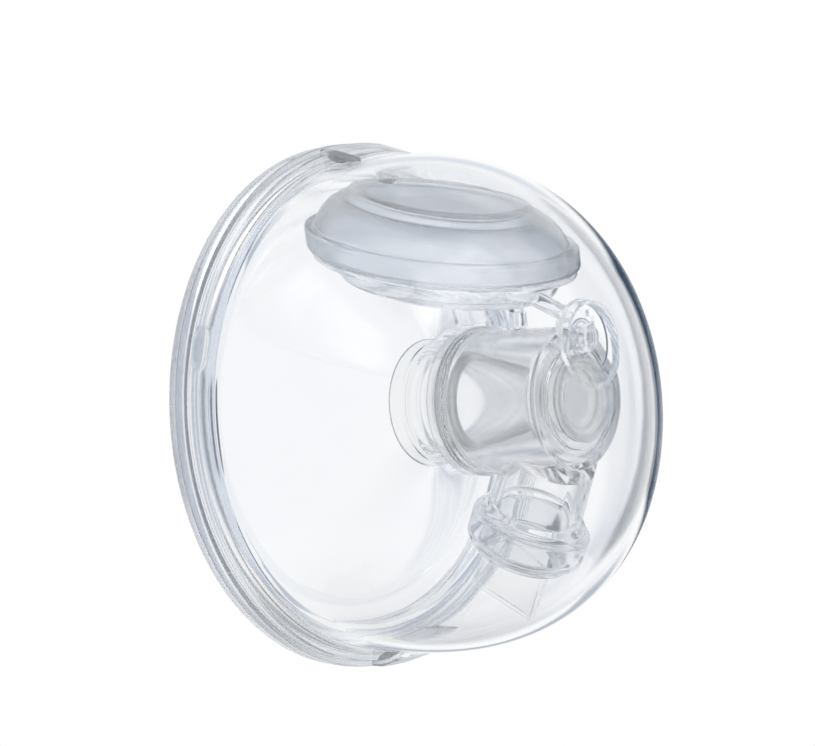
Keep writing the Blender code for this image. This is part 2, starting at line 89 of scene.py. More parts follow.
# Breast shield
FLANGE_T = 1.9
MOUTH_R = 46.5
THROAT_R = 12.4
THROAT_T = 26.0
FUNNEL_POWER = 1.6
SHIELD_WALL = 1.5
TUNNEL_END = -SHIELD_LOW.y
SPIGOT = (50.4, 52.0, 6.5)        # inner radius, outer radius, front end
INSERT_BODY_R = 11.4
INSERT_BORE_R = 10.4
INSERT_RIBS = (26.1, 29.3, 31.5, 34.6, 37.1)
RIB_HEIGHT = 0.7

# Connector housing and valve
SLEEVE_OUT = 15.5
SLEEVE_IN = 14.1
SLEEVE_BACK = -HOUSING_HIGH.y
SLEEVE_FRONT = 63.6
SOCKET_IN = 15.4
SOCKET_OUT = 16.6
SOCKET_END = SLEEVE_BACK + 3.4
FRONT_WALL = 1.5
FRONT_GROOVE = (11.1, 12.4, 0.7)  # inner radius, outer radius, depth
WINDOW_HOLE_R = 8.0
WINDOW_R = 9.5
VALVE_TOP = (48.2, -26.3)         # t, z of the collar's top centre
VALVE_LEAN = 27.0                 # degrees
NECK_OUT = 10.4
NECK_IN = 9.0
NECK_END = 6.0
NECK_START = -20.0
COLLAR_OUT = 13.1
COLLAR_LENGTH = 9.0
BILL_ROOT = 9.4
BILL_TIP = 21.0
BILL_WALL = 0.9
BILL_ROOT_HALF = (7.6, 4.6)       # half width fore and aft, half thickness
BILL_TIP_HALF = (8.6, 1.1)
BILL_SET_BACK = 1.1               # how far the tip's middle sits behind the valve's axis

# Diaphragm: its planes tilt forward, and it is sheared so that its stroke is upright
HAT_CENTRE = (31.5, 35.2)         # t, z
HAT_LEAN = 18.5                   # degrees
HAT_SHEAR = math.tan(math.radians(HAT_LEAN))
HAT_HALF_X = 36.0
HAT_HALF_Y = 26.2
HAT_INSET_RATIO = 0.6             # inset fore and aft for each unit of inset sideways
TAB_PLACE = (0.0, 19.6, 9.4)      # the pull tab's foot, in the diaphragm's frame
TAB_R = 2.6
TAB_HEIGHT = 2.4
DUCT_T = 49.6                     # the suction duct stands here
DUCT_BORE_R = 1.3

# Air port
PORT_BLOCK_T = (64.0, 65.9)
PORT_BLOCK_HALF = 6.0
NIPPLE_R = 3.3
NIPPLE_NECK_R = 2.8
NIPPLE_BORE_R = 1.9

# Floor
FLOOR_R = 0.25                    # metres
FLOOR_Z = -0.2

# Camera, as the object is seen from its front left
VIEW_AZIMUTH = -49.1
VIEW_ELEVATION = 4.0
VIEW_ROLL = 5.7
VIEW_DISTANCE = 0.6
VIEW_OFFSET = (0.0119, 0.00735)   # right and up, from the rim's centre
SENSOR = 36.0
LENS = 114.8


def point(t, z, x=0.0):
    """World position in metres of a point given by x, t and z in millimetres."""
    return Vector((x, -t, z)) * MM


def axis_frame(t, z, tilt):
    """World matrix whose +Z is straight up tilted forward by tilt degrees, at (t, z)."""
    return Matrix.Translation(point(t, z)) @ Matrix.Rotation(math.radians(tilt), 4, "X")


NOSEWARD = Matrix.Rotation(math.radians(90.0), 4, "X")
PORTWARD = Matrix.Translation(point(0.0, PORT_Z)) @ NOSEWARD
HOLEWARD = Matrix.Translation(point(0.0, PORT_HOLE_Z)) @ NOSEWARD
VALVE_FRAME = axis_frame(*VALVE_TOP, 180.0 + VALVE_LEAN)
HAT_FRAME = axis_frame(*HAT_CENTRE, HAT_LEAN)


# ---------------------------------------------------------------- materials

def new_material(name):
    """An empty node material with a Principled shader, its tree and the shader."""
    mat = bpy.data.materials.new(name)
    mat.use_nodes = True
    return mat, mat.node_tree, mat.node_tree.nodes["Principled BSDF"]


def add_node(tree, kind, **settings):
    """Add a node and set its plain attributes."""
    made = tree.nodes.new(kind)
    for key, value in settings.items():
        setattr(made, key, value)
    return made


def noise_node(tree, scale, detail=3.0):
    """Noise in object space, so that it stays on the piece."""
    coords = add_node(tree, "ShaderNodeTexCoord")
    tex = add_node(tree, "ShaderNodeTexNoise")
    tex.inputs["Scale"].default_value = scale
    tex.inputs["Detail"].default_value = detail
    tree.links.new(coords.outputs["Object"], tex.inputs["Vector"])
    return tex


def mottled_colour(tree, shader, tex, low, high):
    """Vary the base colour gently between two colours."""
    ramp = add_node(tree, "ShaderNodeValToRGB")
    ramp.color_ramp.elements[0].position = 0.35
    ramp.color_ramp.elements[0].color = (*low, 1.0)
    ramp.color_ramp.elements[1].position = 0.65
    ramp.color_ramp.elements[1].color = (*high, 1.0)
    tree.links.new(tex.outputs["Fac"], ramp.inputs["Fac"])
    tree.links.new(ramp.outputs["Color"], shader.inputs["Base Color"])


def varied_roughness(tree, shader, tex, low, high):
    """Vary the roughness between two values."""
    spread = add_node(tree, "ShaderNodeMapRange")
    spread.inputs["To Min"].default_value = low
    spread.inputs["To Max"].default_value = high
    tree.links.new(tex.outputs["Fac"], spread.inputs["Value"])
    tree.links.new(spread.outputs["Result"], shader.inputs["Roughness"])


def fine_bump(tree, shader, scale, strength, distance=0.0002):
    """Small surface waviness."""
    tex = noise_node(tree, scale, 2.0)
    bump = add_node(tree, "ShaderNodeBump")
    bump.inputs["Strength"].default_value = strength
    bump.inputs["Distance"].default_value = distance
    tree.links.new(tex.outputs["Fac"], bump.inputs["Height"])
    tree.links.new(bump.outputs["Normal"], shader.inputs["Normal"])


def moulded_clear(name, low, high, rough=(0.0, 0.03), ior=1.49, bump=0.06):
    """Clear moulded plastic: refracting, faintly blue and very slightly wavy."""
    mat, tree, shader = new_material(name)
    shader.inputs["Transmission Weight"].default_value = 1.0
    shader.inputs["IOR"].default_value = ior
    tex = noise_node(tree, 35.0)
    mottled_colour(tree, shader, tex, low, high)
    varied_roughness(tree, shader, tex, *rough)
    fine_bump(tree, shader, 90.0, bump)
    return mat


def silicone(name, low, high, transmission, rough=(0.28, 0.42), bump=0.25, ior=1.41):
    """Silicone rubber: cloudy, satin, with fine grain."""
    mat, tree, shader = new_material(name)
    shader.inputs["Transmission Weight"].default_value = transmission
    shader.inputs["IOR"].default_value = ior
    tex = noise_node(tree, 60.0)
    mottled_colour(tree, shader, tex, low, high)
    varied_roughness(tree, shader, tex, *rough)
    fine_bump(tree, shader, 500.0, bump, 0.00005)
    return mat


def graded(mat, axis, start, end, transmission, rough, ior=None):
    """Change transmission, roughness and any given IOR along an axis, from start to end in mm."""
    tree = mat.node_tree
    shader = tree.nodes["Principled BSDF"]
    coords = add_node(tree, "ShaderNodeTexCoord")
    split = add_node(tree, "ShaderNodeSeparateXYZ")
    tree.links.new(coords.outputs["Object"], split.inputs["Vector"])
    grades = [("Transmission Weight", transmission), ("Roughness", rough)]
    if ior:
        grades.append(("IOR", ior))
    for socket, (low, high) in grades:
        ramp = add_node(tree, "ShaderNodeMapRange", interpolation_type="SMOOTHSTEP")
        ramp.inputs["From Min"].default_value = start * MM
        ramp.inputs["From Max"].default_value = end * MM
        ramp.inputs["To Min"].default_value = low
        ramp.inputs["To Max"].default_value = high
        tree.links.new(split.outputs[axis], ramp.inputs["Value"])
        tree.links.new(ramp.outputs["Result"], shader.inputs[socket])
    return mat


def satin_rim_painted_shade(mat, tint, rough):
    """Give the clear plastic a satin finish beyond the skirt's radius, and a faint blue-grey painted
    shade there that darkens the band round the rim.
    """
    tree = mat.node_tree
    shader = tree.nodes["Principled BSDF"]
    coords = add_node(tree, "ShaderNodeTexCoord")
    flat = add_node(tree, "ShaderNodeVectorMath", operation="MULTIPLY")
    flat.inputs[1].default_value = (1.0, 0.0, 1.0)
    tree.links.new(coords.outputs["Object"], flat.inputs[0])
    radius = add_node(tree, "ShaderNodeVectorMath", operation="LENGTH")
    tree.links.new(flat.outputs["Vector"], radius.inputs[0])
    outer = add_node(tree, "ShaderNodeMapRange", interpolation_type="SMOOTHSTEP")
    outer.inputs["From Min"].default_value = (SHELL_R + 0.3) * MM
    outer.inputs["From Max"].default_value = (SHELL_R + 2.0) * MM
    tree.links.new(radius.outputs["Value"], outer.inputs["Value"])
    # Mix in the painted shade: a blue-grey that darkens the rim band beyond the skirt.
    colour = add_node(tree, "ShaderNodeMixRGB")
    tree.links.new(outer.outputs["Result"], colour.inputs["Fac"])
    tree.links.new(shader.inputs["Base Color"].links[0].from_socket, colour.inputs["Color1"])
    colour.inputs["Color2"].default_value = (*tint, 1.0)
    tree.links.new(colour.outputs["Color"], shader.inputs["Base Color"])
    finish = add_node(tree, "ShaderNodeMapRange")
    finish.inputs["To Min"].default_value = 0.02
    finish.inputs["To Max"].default_value = rough
    tree.links.new(outer.outputs["Result"], finish.inputs["Value"])
    tree.links.new(finish.outputs["Result"], shader.inputs["Roughness"])
    return mat


MATERIALS = {
    # The shell and shield carry a blue-grey painted shade on the rim band beyond the skirt (the last
    # colour given here).
    "clear_shell": satin_rim_painted_shade(moulded_clear("shell_plastic", (0.965, 0.97, 0.98),
                                           (0.975, 0.98, 0.99)), (0.935, 0.95, 0.97), 0.2),
    "clear_shield": satin_rim_painted_shade(moulded_clear("shield_plastic", (0.955, 0.965, 0.98),
                                            (0.965, 0.975, 0.985)), (0.935, 0.95, 0.97), 0.2),
    # The gasket's blue-grey colour is painted shade: it darkens the band round the rim.
    "gasket_painted_shade": silicone("gasket_silicone", (0.80, 0.84, 0.90), (0.83, 0.87, 0.92), 1.0,
                              rough=(0.10, 0.18), bump=0.1),
    "clear_housing": moulded_clear("housing_plastic", (0.965, 0.97, 0.98), (0.975, 0.98, 0.99),
                                   rough=(0.0, 0.04)),
    "frosted_sleeve": graded(moulded_clear("sleeve_plastic", (0.975, 0.975, 0.975),
                                           (0.985, 0.985, 0.985)),
                             "Z", -19.0, -14.0, (1.0, 0.98), (0.02, 0.10)),
    "clear_silicone": silicone("collar_silicone", (0.79, 0.805, 0.83), (0.82, 0.835, 0.86), 1.0,
                               rough=(0.02, 0.05), bump=0.1),
    "bill_silicone": silicone("bill_silicone", (0.955, 0.955, 0.955), (0.97, 0.97, 0.97), 1.0,
                              rough=(0.03, 0.07), bump=0.1),
    "thin_lining": silicone("lining_silicone", (0.93, 0.94, 0.96), (0.95, 0.96, 0.975), 1.0,
                            rough=(0.02, 0.06), bump=0.1, ior=1.15),
    "blue_silicone": silicone("diaphragm_silicone", (0.905, 0.935, 0.98), (0.935, 0.96, 0.995), 0.95,
                              rough=(0.16, 0.26)),
    "milky_silicone": graded(silicone("insert_silicone", (0.93, 0.93, 0.92), (0.95, 0.95, 0.94),
                                      1.0), "Y", -36.0, -31.0, (0.85, 1.0), (0.3, 0.05),
                             (1.41, 1.2)),
    "frosted_window": silicone("window_plastic", (0.965, 0.965, 0.955), (0.98, 0.98, 0.97), 1.0,
                               rough=(0.12, 0.2)),
}


# ---------------------------------------------------------------- mesh helpers

def mesh_from(work, name):
    """Finish a bmesh: weld, face outward, make a mesh."""
    bmesh.ops.remove_doubles(work, verts=work.verts[:], dist=0.000002)
    bmesh.ops.recalc_face_normals(work, faces=work.faces[:])
    mesh = bpy.data.meshes.new(name)
    work.to_mesh(mesh)
    work.free()
    return mesh


def rounded(outline, closed, amount=0.45, cuts=3):
    """Round the corners of an outline of (radius, height) points.

    A corner's fillet runs back along both of its edges by amount millimetres, or
    by under half of a shorter edge. Nearly straight corners stay as they are.
    """
    points = [Vector(p) for p in outline]
    count = len(points)
    result = []
    for i, here in enumerate(points):
        if not closed and i in (0, count - 1):
            result.append(here)
            continue
        before, after = points[i - 1] - here, points[(i + 1) % count] - here
        if before.length < 1e-6 or after.length < 1e-6:
            continue
        if before.angle(after) > math.radians(155.0):
            result.append(here)
            continue
        reach = min(amount, before.length * 0.45, after.length * 0.45)
        first, last = here + before.normalized() * reach, here + after.normalized() * reach
        for k in range(cuts + 1):
            f = k / cuts
            result.append((1 - f) ** 2 * first + 2 * f * (1 - f) * here + f ** 2 * last)
    return [tuple(p) for p in result]


def spun(name, outline, steps=SMALL_ROUND, fillet=0.3):
    """Spin a (radius, height) outline about local Z into a closed mesh."""
    closed = min(r for r, _ in outline) > 0.0
    if fillet:
        outline = rounded(outline, closed, fillet)
    work = bmesh.new()
    verts = [work.verts.new((r * MM, 0.0, h * MM)) for r, h in outline]
    pairs = list(zip(verts, verts[1:] + ([verts[0]] if closed else [])))
    edges = [work.edges.new(pair) for pair in pairs]
    bmesh.ops.spin(work, geom=verts + edges, cent=(0, 0, 0), axis=(0, 0, 1), angle=math.tau,
                   steps=steps, use_merge=True, use_duplicate=False)
    return mesh_from(work, name)


def add_object(name, mesh, matrix, material=None, smooth=40.0):
    """Link an object with its mesh moved into place, and shade it smooth."""
    mesh.transform(matrix)
    if matrix.determinant() < 0:
        mesh.flip_normals()
    obj = bpy.data.objects.new(name, mesh)
    bpy.context.scene.collection.objects.link(obj)
    if material:
        coat(obj, material)
    mesh.shade_smooth()
    mesh.set_sharp_from_angle(angle=math.radians(smooth))
    return obj


def coat(obj, material):
    """Give an object one material."""
    obj.data.materials.clear()
    obj.data.materials.append(MATERIALS[material])


def piece(name, mesh, matrix, slot, body, *nodes):
    """Add a piece of the object: it rides on a body and stands for CAD nodes."""
    obj = add_object(name, mesh, matrix, slot)
    register(obj, slot, body, *nodes)
    return obj


def register(obj, slot, body, *nodes):
    """Put a finished piece on its body, if it has one, and hide the CAD nodes it stands for."""
    if body:
        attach(obj, body)
    if nodes:
        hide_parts(*nodes)


def apply_boolean(obj, tools):
    """Cut or join with (tool, operation) pairs, then remove the tools."""
    for tool, operation in tools:
        mod = obj.modifiers.new("Boolean", "BOOLEAN")
        mod.operation = operation
        mod.object = tool
        mod.solver = "EXACT"
        graph = bpy.context.evaluated_depsgraph_get()
        result = bpy.data.meshes.new_from_object(obj.evaluated_get(graph))
        obj.modifiers.clear()
        obj.data = result
    for tool, _ in tools:
        bpy.data.objects.remove(tool)
    obj.data.shade_smooth()
    obj.data.set_sharp_from_angle(angle=math.radians(35.0))
    return obj


def rod(name, radius, low, high, matrix, steps=48):
    """A plain closed cylinder used as a cutter."""
    return add_object(name, spun(name, [(0.0, high), (radius, high), (radius, low), (0.0, low)],
                                 steps, 0.0), matrix)


def oval_mesh(name, outline, fillet=0.3, steps=128):
    """Sweep (inset, height) points round the diaphragm's oval. None is the axis."""
    rim = 100.0
    rounds = [(0.0 if inset is None else rim - inset, h) for inset, h in outline]
    mesh = spun(name, rounds, steps, fillet)
    for vert in mesh.vertices:
        radius = math.hypot(vert.co.x, vert.co.y) / MM
        if radius > 0.001:
            inset = rim - radius
            vert.co.x *= (HAT_HALF_X - inset) / radius
            vert.co.y *= (HAT_HALF_Y - inset * HAT_INSET_RATIO) / radius
        vert.co.y += HAT_SHEAR * vert.co.z
    return mesh


# ---------------------------------------------------------------- outer shell

def nose_curve(radius, length, count=48):
    """Superellipse from the skirt's end to the nose, as (radius, t) points."""
    points = []
    for i in range(count + 1):
        angle = math.pi / 2 * i / count
        r = radius * max(math.cos(angle), 0.0) ** (2 / NOSE_POWER)
        t = SHELL_T0 + length * math.sin(angle) ** (2 / NOSE_POWER)
        points.append((r if i < count else 0.0, t))
    return points


def sag(mesh):
    """Push the lower front of the shell down, in its turned frame where +Y is up."""
    for vert in mesh.vertices:
        forward = max(vert.co.z / MM - SHELL_T0, 0.0) / NOSE_LENGTH
        radius = math.hypot(vert.co.x, vert.co.y)
        rise = vert.co.y / radius if radius > 1e-6 else 0.0
        vert.co.y -= NOSE_SAG * MM * forward ** 2 * (1.0 - rise) / 2


def grip_tabs():
    """Wedges on the skirt's top and bottom, as a tool to join to the shell."""
    outline = [(57.0, GRIP_END), (58.4, 12.6), (59.8, 8.0), (59.8, 5.0), (55.4, 5.0),
               (55.4, GRIP_END)]
    ring = add_object("grip_ring", spun("grip_ring", outline, ROUND, 0.7), NOSEWARD)
    work = bmesh.new()
    bmesh.ops.create_cube(work, size=1.0)
    bmesh.ops.scale(work, vec=Vector((2 * GRIP_HALF, 30.0, 140.0)) * MM, verts=work.verts)
    bmesh.ops.translate(work, vec=point(15.0, 0.0), verts=work.verts)
    upright = [e for e in work.edges if abs((e.verts[0].co - e.verts[1].co).z) > 0.001]
    bmesh.ops.bevel(work, geom=upright, offset=0.0015, segments=4, affect="EDGES")
    span = add_object("grip_span", mesh_from(work, "grip_span"), Matrix.Identity(4))
    return apply_boolean(ring, [(span, "INTERSECT")])


def rim_boss(turn):
    """Rounded alignment boss on the lip's step, at an angle round the rim."""
    work = bmesh.new()
    bmesh.ops.create_uvsphere(work, u_segments=48, v_segments=32, radius=MM)
    bmesh.ops.scale(work, vec=BOSS_HALF, verts=work.verts)
    place = Matrix.Translation(point(BOSS_PLACE[1], 0.0, BOSS_PLACE[0]))
    return add_object("rim_boss", mesh_from(work, "rim_boss"),
                      Matrix.Rotation(-math.radians(turn), 4, "Y") @ place)


def build_shell():
    """The clear domed reservoir, its stepped lip, grip tabs and the port hole."""
    inner_r = SHELL_R - SHELL_WALL
    lip = [(SHELL_R, 11.2), (SHELL_R + 0.2, 9.4), (SHELL_R + 1.2, 7.6), (58.3, 6.9), (58.6, 6.3),
           (58.6, 4.6), (RIM_R - 0.1, 4.5), (RIM_R, LIP_T), (inner_r, LIP_T)]
    outside = list(reversed(nose_curve(SHELL_R, NOSE_LENGTH)))
    inside = nose_curve(inner_r, NOSE_LENGTH - SHELL_WALL)
    outline = outside + rounded([outside[-1]] + lip + [inside[0]], False, 0.35)[1:-1] + inside
    mesh = spun("shell_dome", outline, ROUND, 0.0)
    sag(mesh)
    shell = add_object("shell_dome", mesh, NOSEWARD, "clear_shell")
    hole = rod("port_cut", PORT_HOLE_R, 55.0, 80.0, HOLEWARD, 96)
    apply_boolean(shell, [(hole, "DIFFERENCE"), (grip_tabs(), "UNION"),
                          (rim_boss(BOSS_ANGLE), "UNION"), (rim_boss(180.0 - BOSS_ANGLE), "UNION")])
    coat(shell, "clear_shell")
    register(shell, "clear_shell", "shell", "outer_shell")
    grommet = [(9.3, 69.4), (9.3, 66.6), (8.7, 66.4), (8.7, 69.7), (9.0, 69.7)]
    lining = piece("port_lining", spun("port_lining", grommet, 96), HOLEWARD, "clear_silicone",
                   "shell", "port_grommet")
    coat(lining, "thin_lining")


# ---------------------------------------------------------------- shield and insert

def funnel_radius(t):
    """Inner radius of the breast shield's funnel at a distance forward of the rim."""
    left = max(1.0 - t / THROAT_T, 0.0)
    return THROAT_R + (MOUTH_R - THROAT_R) * left ** FUNNEL_POWER


def funnel_side(t):
    """Point on the funnel's outer side, one wall thickness out from its inner side."""
    step = 0.01
    slope = (funnel_radius(t + step) - funnel_radius(t)) / step
    length = math.hypot(1.0, slope)
    return funnel_radius(t) + SHIELD_WALL / length, t - SHIELD_WALL * slope / length


def build_shield():
    """The clear flange, funnel and tunnel, and the gasket on its spigot."""
    stations = [THROAT_T * (i / 40) for i in range(41)]
    tunnel_out = THROAT_R + SHIELD_WALL
    outside = [(tunnel_out - 0.4, TUNNEL_END), (tunnel_out, TUNNEL_END - 0.5)]
    outside += [funnel_side(t) for t in reversed(stations[1:])]
    inner_ring, outer_ring, spigot_end = SPIGOT
    edge = RIM_R - 0.2
    flange = [(MOUTH_R + 1.2, FLANGE_T), (inner_ring, FLANGE_T), (inner_ring, spigot_end),
              (outer_ring, spigot_end), (outer_ring, FLANGE_T), (edge, FLANGE_T), (edge, 0.0),
              (MOUTH_R + 0.8, 0.0)]
    flange = rounded([outside[-1]] + flange + [(MOUTH_R - 1.0, 0.5)], False, 0.35)[1:-1]
    inside = [(funnel_radius(t), t) for t in stations] + [(THROAT_R, TUNNEL_END)]
    mesh = spun("shield_funnel", outside + flange + inside, ROUND, 0.0)
    piece("shield_funnel", mesh, NOSEWARD, "clear_shield", "cup", "breast_shield")
    low, high = SPIGOT[1] + 0.3, SHELL_R - SHELL_WALL - 0.3
    gasket = [(high - 0.4, 6.2), (high, 5.4), (high - 0.4, 4.2), (high, 3.0), (high - 0.4, 2.3),
              (low, 2.3), (low, 6.2)]
    seal = piece("rim_gasket_ring", spun("rim_gasket_ring", gasket, ROUND, 0.25), NOSEWARD,
                 "clear_silicone", "cup", "rim_gasket")
    # The gasket is coated with the blue-grey painted shade that darkens the rim band.
    coat(seal, "gasket_painted_shade")


def build_insert():
    """The milky silicone insert with its five round ribs."""
    body, bore, end = INSERT_BODY_R, INSERT_BORE_R, -INSERT_LOW.y
    start = -INSERT_HIGH.y + 0.2
    outside = [(body, end)]
    for t in reversed(INSERT_RIBS):
        for k in range(7):
            swell = math.sin(math.pi * k / 6)
            outside.append((body + RIB_HEIGHT * swell, t + 0.7 - 1.4 * k / 6))
    outside += [(11.9, 23.8), (funnel_radius(start) - 0.5, start)]
    inside = [(funnel_radius(start) - 1.2, start - 0.2), (bore + 0.3, 24.0), (bore, 25.5),
              (bore, end)]
    mesh = spun("flange_insert_sleeve", outside + inside, 96, 0.25)
    piece("flange_insert_sleeve", mesh, NOSEWARD, "milky_silicone", "insert", "flange_insert")


# ---------------------------------------------------------------- housing and valve

def build_housing():
    """The clear sleeve, its neck, the window and the seals."""
    groove_in, groove_out, depth = FRONT_GROOVE
    groove = SLEEVE_FRONT - depth
    outside = [(0.0, SLEEVE_FRONT), (groove_in - 0.2, SLEEVE_FRONT), (groove_in, groove),
               (groove_out, groove), (groove_out + 0.2, SLEEVE_FRONT), (SLEEVE_OUT, SLEEVE_FRONT),
               (SLEEVE_OUT, SOCKET_END + 2.4), (SOCKET_OUT, SOCKET_END + 1.2),
               (SOCKET_OUT, SLEEVE_BACK), (0.0, SLEEVE_BACK)]
    housing = add_object("housing_elbow", spun("housing_elbow", outside, 96, 0.8), NOSEWARD,
                         "clear_housing")
    neck = [(0.0, NECK_END), (NECK_OUT, NECK_END), (NECK_OUT, 0.0), (NECK_OUT + 1.2, -0.3),
            (NECK_OUT + 1.2, -1.5), (NECK_OUT, -2.6), (NECK_OUT - 1.0, NECK_START),
            (0.0, NECK_START)]
    neck_tool = add_object("neck", spun("neck", neck, 96, 0.4), VALVE_FRAME)
    front_block = bmesh.new()
    bmesh.ops.create_cube(front_block, size=0.08,
                          matrix=Matrix.Translation(point(SLEEVE_FRONT - 0.9 + 40.0, -20.0)))
    front_tool = add_object("neck_front", mesh_from(front_block, "neck_front"), Matrix.Identity(4))
    apply_boolean(neck_tool, [(front_tool, "DIFFERENCE")])
    core_front = SLEEVE_FRONT - FRONT_WALL
    core = [(0.0, core_front), (SLEEVE_IN, core_front), (SLEEVE_IN, SOCKET_END),
            (SOCKET_IN, SOCKET_END), (SOCKET_IN, SLEEVE_BACK - 1.0), (0.0, SLEEVE_BACK - 1.0)]
    bore = add_object("bore", spun("bore", core, 96, 0.5), NOSEWARD)
    drain_outline = [(0.0, NECK_END + 1), (NECK_IN, NECK_END + 1), (NECK_IN - 0.6, -13.2),
                     (0.0, -13.2)]
    drain = add_object("drain", spun("drain", drain_outline, 96, 0.0), VALVE_FRAME)
    window_cut = rod("window_cut", WINDOW_HOLE_R, 55.0, 70.0, NOSEWARD, 72)
    duct_cut = rod("duct_cut", DUCT_BORE_R, 8.0, 20.0, Matrix.Translation(point(DUCT_T, 0.0)), 24)
    apply_boolean(housing, [(neck_tool, "UNION"), (bore, "DIFFERENCE"), (drain, "DIFFERENCE"),
                            (window_cut, "DIFFERENCE"), (duct_cut, "DIFFERENCE")])
    coat(housing, "frosted_sleeve")
    register(housing, "clear_housing", "cup", "connector_housing")
    cap = SLEEVE_FRONT + 1.0
    hole = WINDOW_HOLE_R - 0.3
    window = [(0.0, cap + 0.9), (WINDOW_R, cap + 0.9), (WINDOW_R, cap), (hole, cap), (hole, 60.2),
              (hole - 1.0, 60.2), (hole - 1.0, cap - 0.2), (0.0, cap - 0.2)]
    plug = piece("front_window_plug", spun("front_window_plug", window, 96, 0.25), NOSEWARD,
                 "clear_housing", "cup", "front_window")
    coat(plug, "frosted_window")
    back = SLEEVE_FRONT + 0.3
    seal = [(WINDOW_R - 0.1, back + 0.4), (WINDOW_R - 0.1, back), (WINDOW_HOLE_R, back),
            (WINDOW_HOLE_R, back + 0.4)]
    piece("window_washer", spun("window_washer", seal, 96, 0.15), NOSEWARD, "blue_silicone", "cup",
          "window_seal")


def ring(name, ring_r, wire_r, t, matrix, node):
    """A round O-ring at a distance forward along an axis."""
    outline = [(ring_r + wire_r * math.cos(a), t - wire_r * math.sin(a))
               for a in (math.tau * i / 16 for i in range(16))]
    piece(name, spun(name, outline, 96, 0.0), matrix, "blue_silicone", "cup", node)


def build_rings():
    """The two O-rings."""
    ring("tunnel_seal_ring", (THROAT_R + SHIELD_WALL + SOCKET_IN) / 2, 0.55, SLEEVE_BACK + 2.15,
         NOSEWARD, "tunnel_oring")
    ring("nipple_seal_ring", NIPPLE_R + 0.5, 0.5, PORT_BLOCK_T[1] + 0.8, PORTWARD, "port_oring")


def build_collar():
    """The thick clear silicone collar on the neck."""
    inner = NECK_OUT + 0.3
    outline = [(COLLAR_OUT, 0.0), (inner, 0.0), (inner, NECK_END + 0.3), (8.6, 6.9),
               (7.3, COLLAR_LENGTH), (COLLAR_OUT - 2.6, COLLAR_LENGTH), (COLLAR_OUT, 6.0)]
    piece("valve_grip_collar", spun("valve_grip_collar", outline, 96, 0.9), VALVE_FRAME,
          "clear_silicone", "cup", "valve_collar")


def lip_mesh(side, name):
    """One lip of the duckbill: a bowed sheet, thick at its root and flat at its tip."""
    across, along = 40, 24
    outer, inner = [], []
    work = bmesh.new()
    for j in range(along + 1):
        v = j / along
        half_wide = BILL_ROOT_HALF[0] * (1 - v) + BILL_TIP_HALF[0] * v
        half_thick = BILL_ROOT_HALF[1] * (1 - v) + BILL_TIP_HALF[1] * v
        rows = []
        for i in range(across + 1):
            angle = (i / across - 0.5) * math.pi
            bulge = max(math.cos(angle), 0.0) ** 0.7
            x = 0.15 + BILL_WALL + (half_thick - BILL_WALL) * bulge
            y = half_wide * math.sin(angle) - BILL_SET_BACK * v
            thin = BILL_WALL * (0.85 - 0.25 * v)
            s = BILL_ROOT + (BILL_TIP - BILL_ROOT) * v
            rows.append((work.verts.new(Vector((side * x, y, s)) * MM),
                         work.verts.new(Vector((side * (x - thin), y * (1 - 0.04 * bulge), s)) * MM)))
        outer.append([pair[0] for pair in rows])
        inner.append([pair[1] for pair in rows])
    for sheet in (outer, inner):
        for j in range(along):
            for i in range(across):
                work.faces.new((sheet[j][i], sheet[j][i + 1], sheet[j + 1][i + 1], sheet[j + 1][i]))
    rim_outer = outer[0] + [row[-1] for row in outer[1:]] + outer[-1][-2::-1]
    rim_outer += [row[0] for row in outer[-2:0:-1]]
    rim_inner = inner[0] + [row[-1] for row in inner[1:]] + inner[-1][-2::-1]
    rim_inner += [row[0] for row in inner[-2:0:-1]]
    for k, vert in enumerate(rim_outer):
        after = (k + 1) % len(rim_outer)
        work.faces.new((vert, rim_outer[after], rim_inner[after], rim_inner[k]))
    return mesh_from(work, name)


def build_lips():
    """The duckbill's two lips, standing out from the collar."""
    for side, word in ((-1, "left"), (1, "right")):
        name = "duckbill_" + word
        lip = add_object(name, lip_mesh(side, name), VALVE_FRAME, "bill_silicone", 60.0)
        register(lip, "clear_silicone", None, "valve_lip_" + word)
        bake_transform(lip)


# ---------------------------------------------------------------- diaphragm, tray and ducts

def build_diaphragm():
    """The blue-grey silicone diaphragm, one moulding from bead to dished crown."""
    outline = [(None, 7.9), (26.0, 8.0), (20.0, 8.5), (17.4, 9.4), (15.4, 10.3), (13.9, 10.4),
               (12.6, 9.6), (11.4, 8.7), (9.8, 8.3), (7.4, 7.2), (4.8, 5.2), (3.2, 3.2), (2.6, 2.2),
               (0.5, 2.3), (0.0, 1.7), (0.0, -1.7), (0.5, -2.3), (2.8, -2.3), (3.1, 1.0),
               (5.4, 4.2), (7.4, 5.7), (9.8, 6.9), (12.0, 7.3), (13.4, 8.4), (14.6, 9.0),
               (17.4, 8.1), (20.0, 7.2), (26.0, 6.7), (None, 6.6)]
    hat = add_object("diaphragm_hat", oval_mesh("diaphragm_hat", outline, 0.7), HAT_FRAME,
                     "blue_silicone", 50.0)
    tab_frame = HAT_FRAME @ Matrix.Translation(Vector(TAB_PLACE) * MM)
    tab_outline = [(0.0, TAB_HEIGHT), (TAB_R, TAB_HEIGHT), (TAB_R, 0.0), (0.0, 0.0)]
    tab = add_object("tab", spun("tab", tab_outline, 32, 0.7), tab_frame)
    apply_boolean(hat, [(tab, "UNION")])
    coat(hat, "blue_silicone")
    register(hat, "blue_silicone", None, "diaphragm_rim", "diaphragm_crown")
    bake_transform(hat)


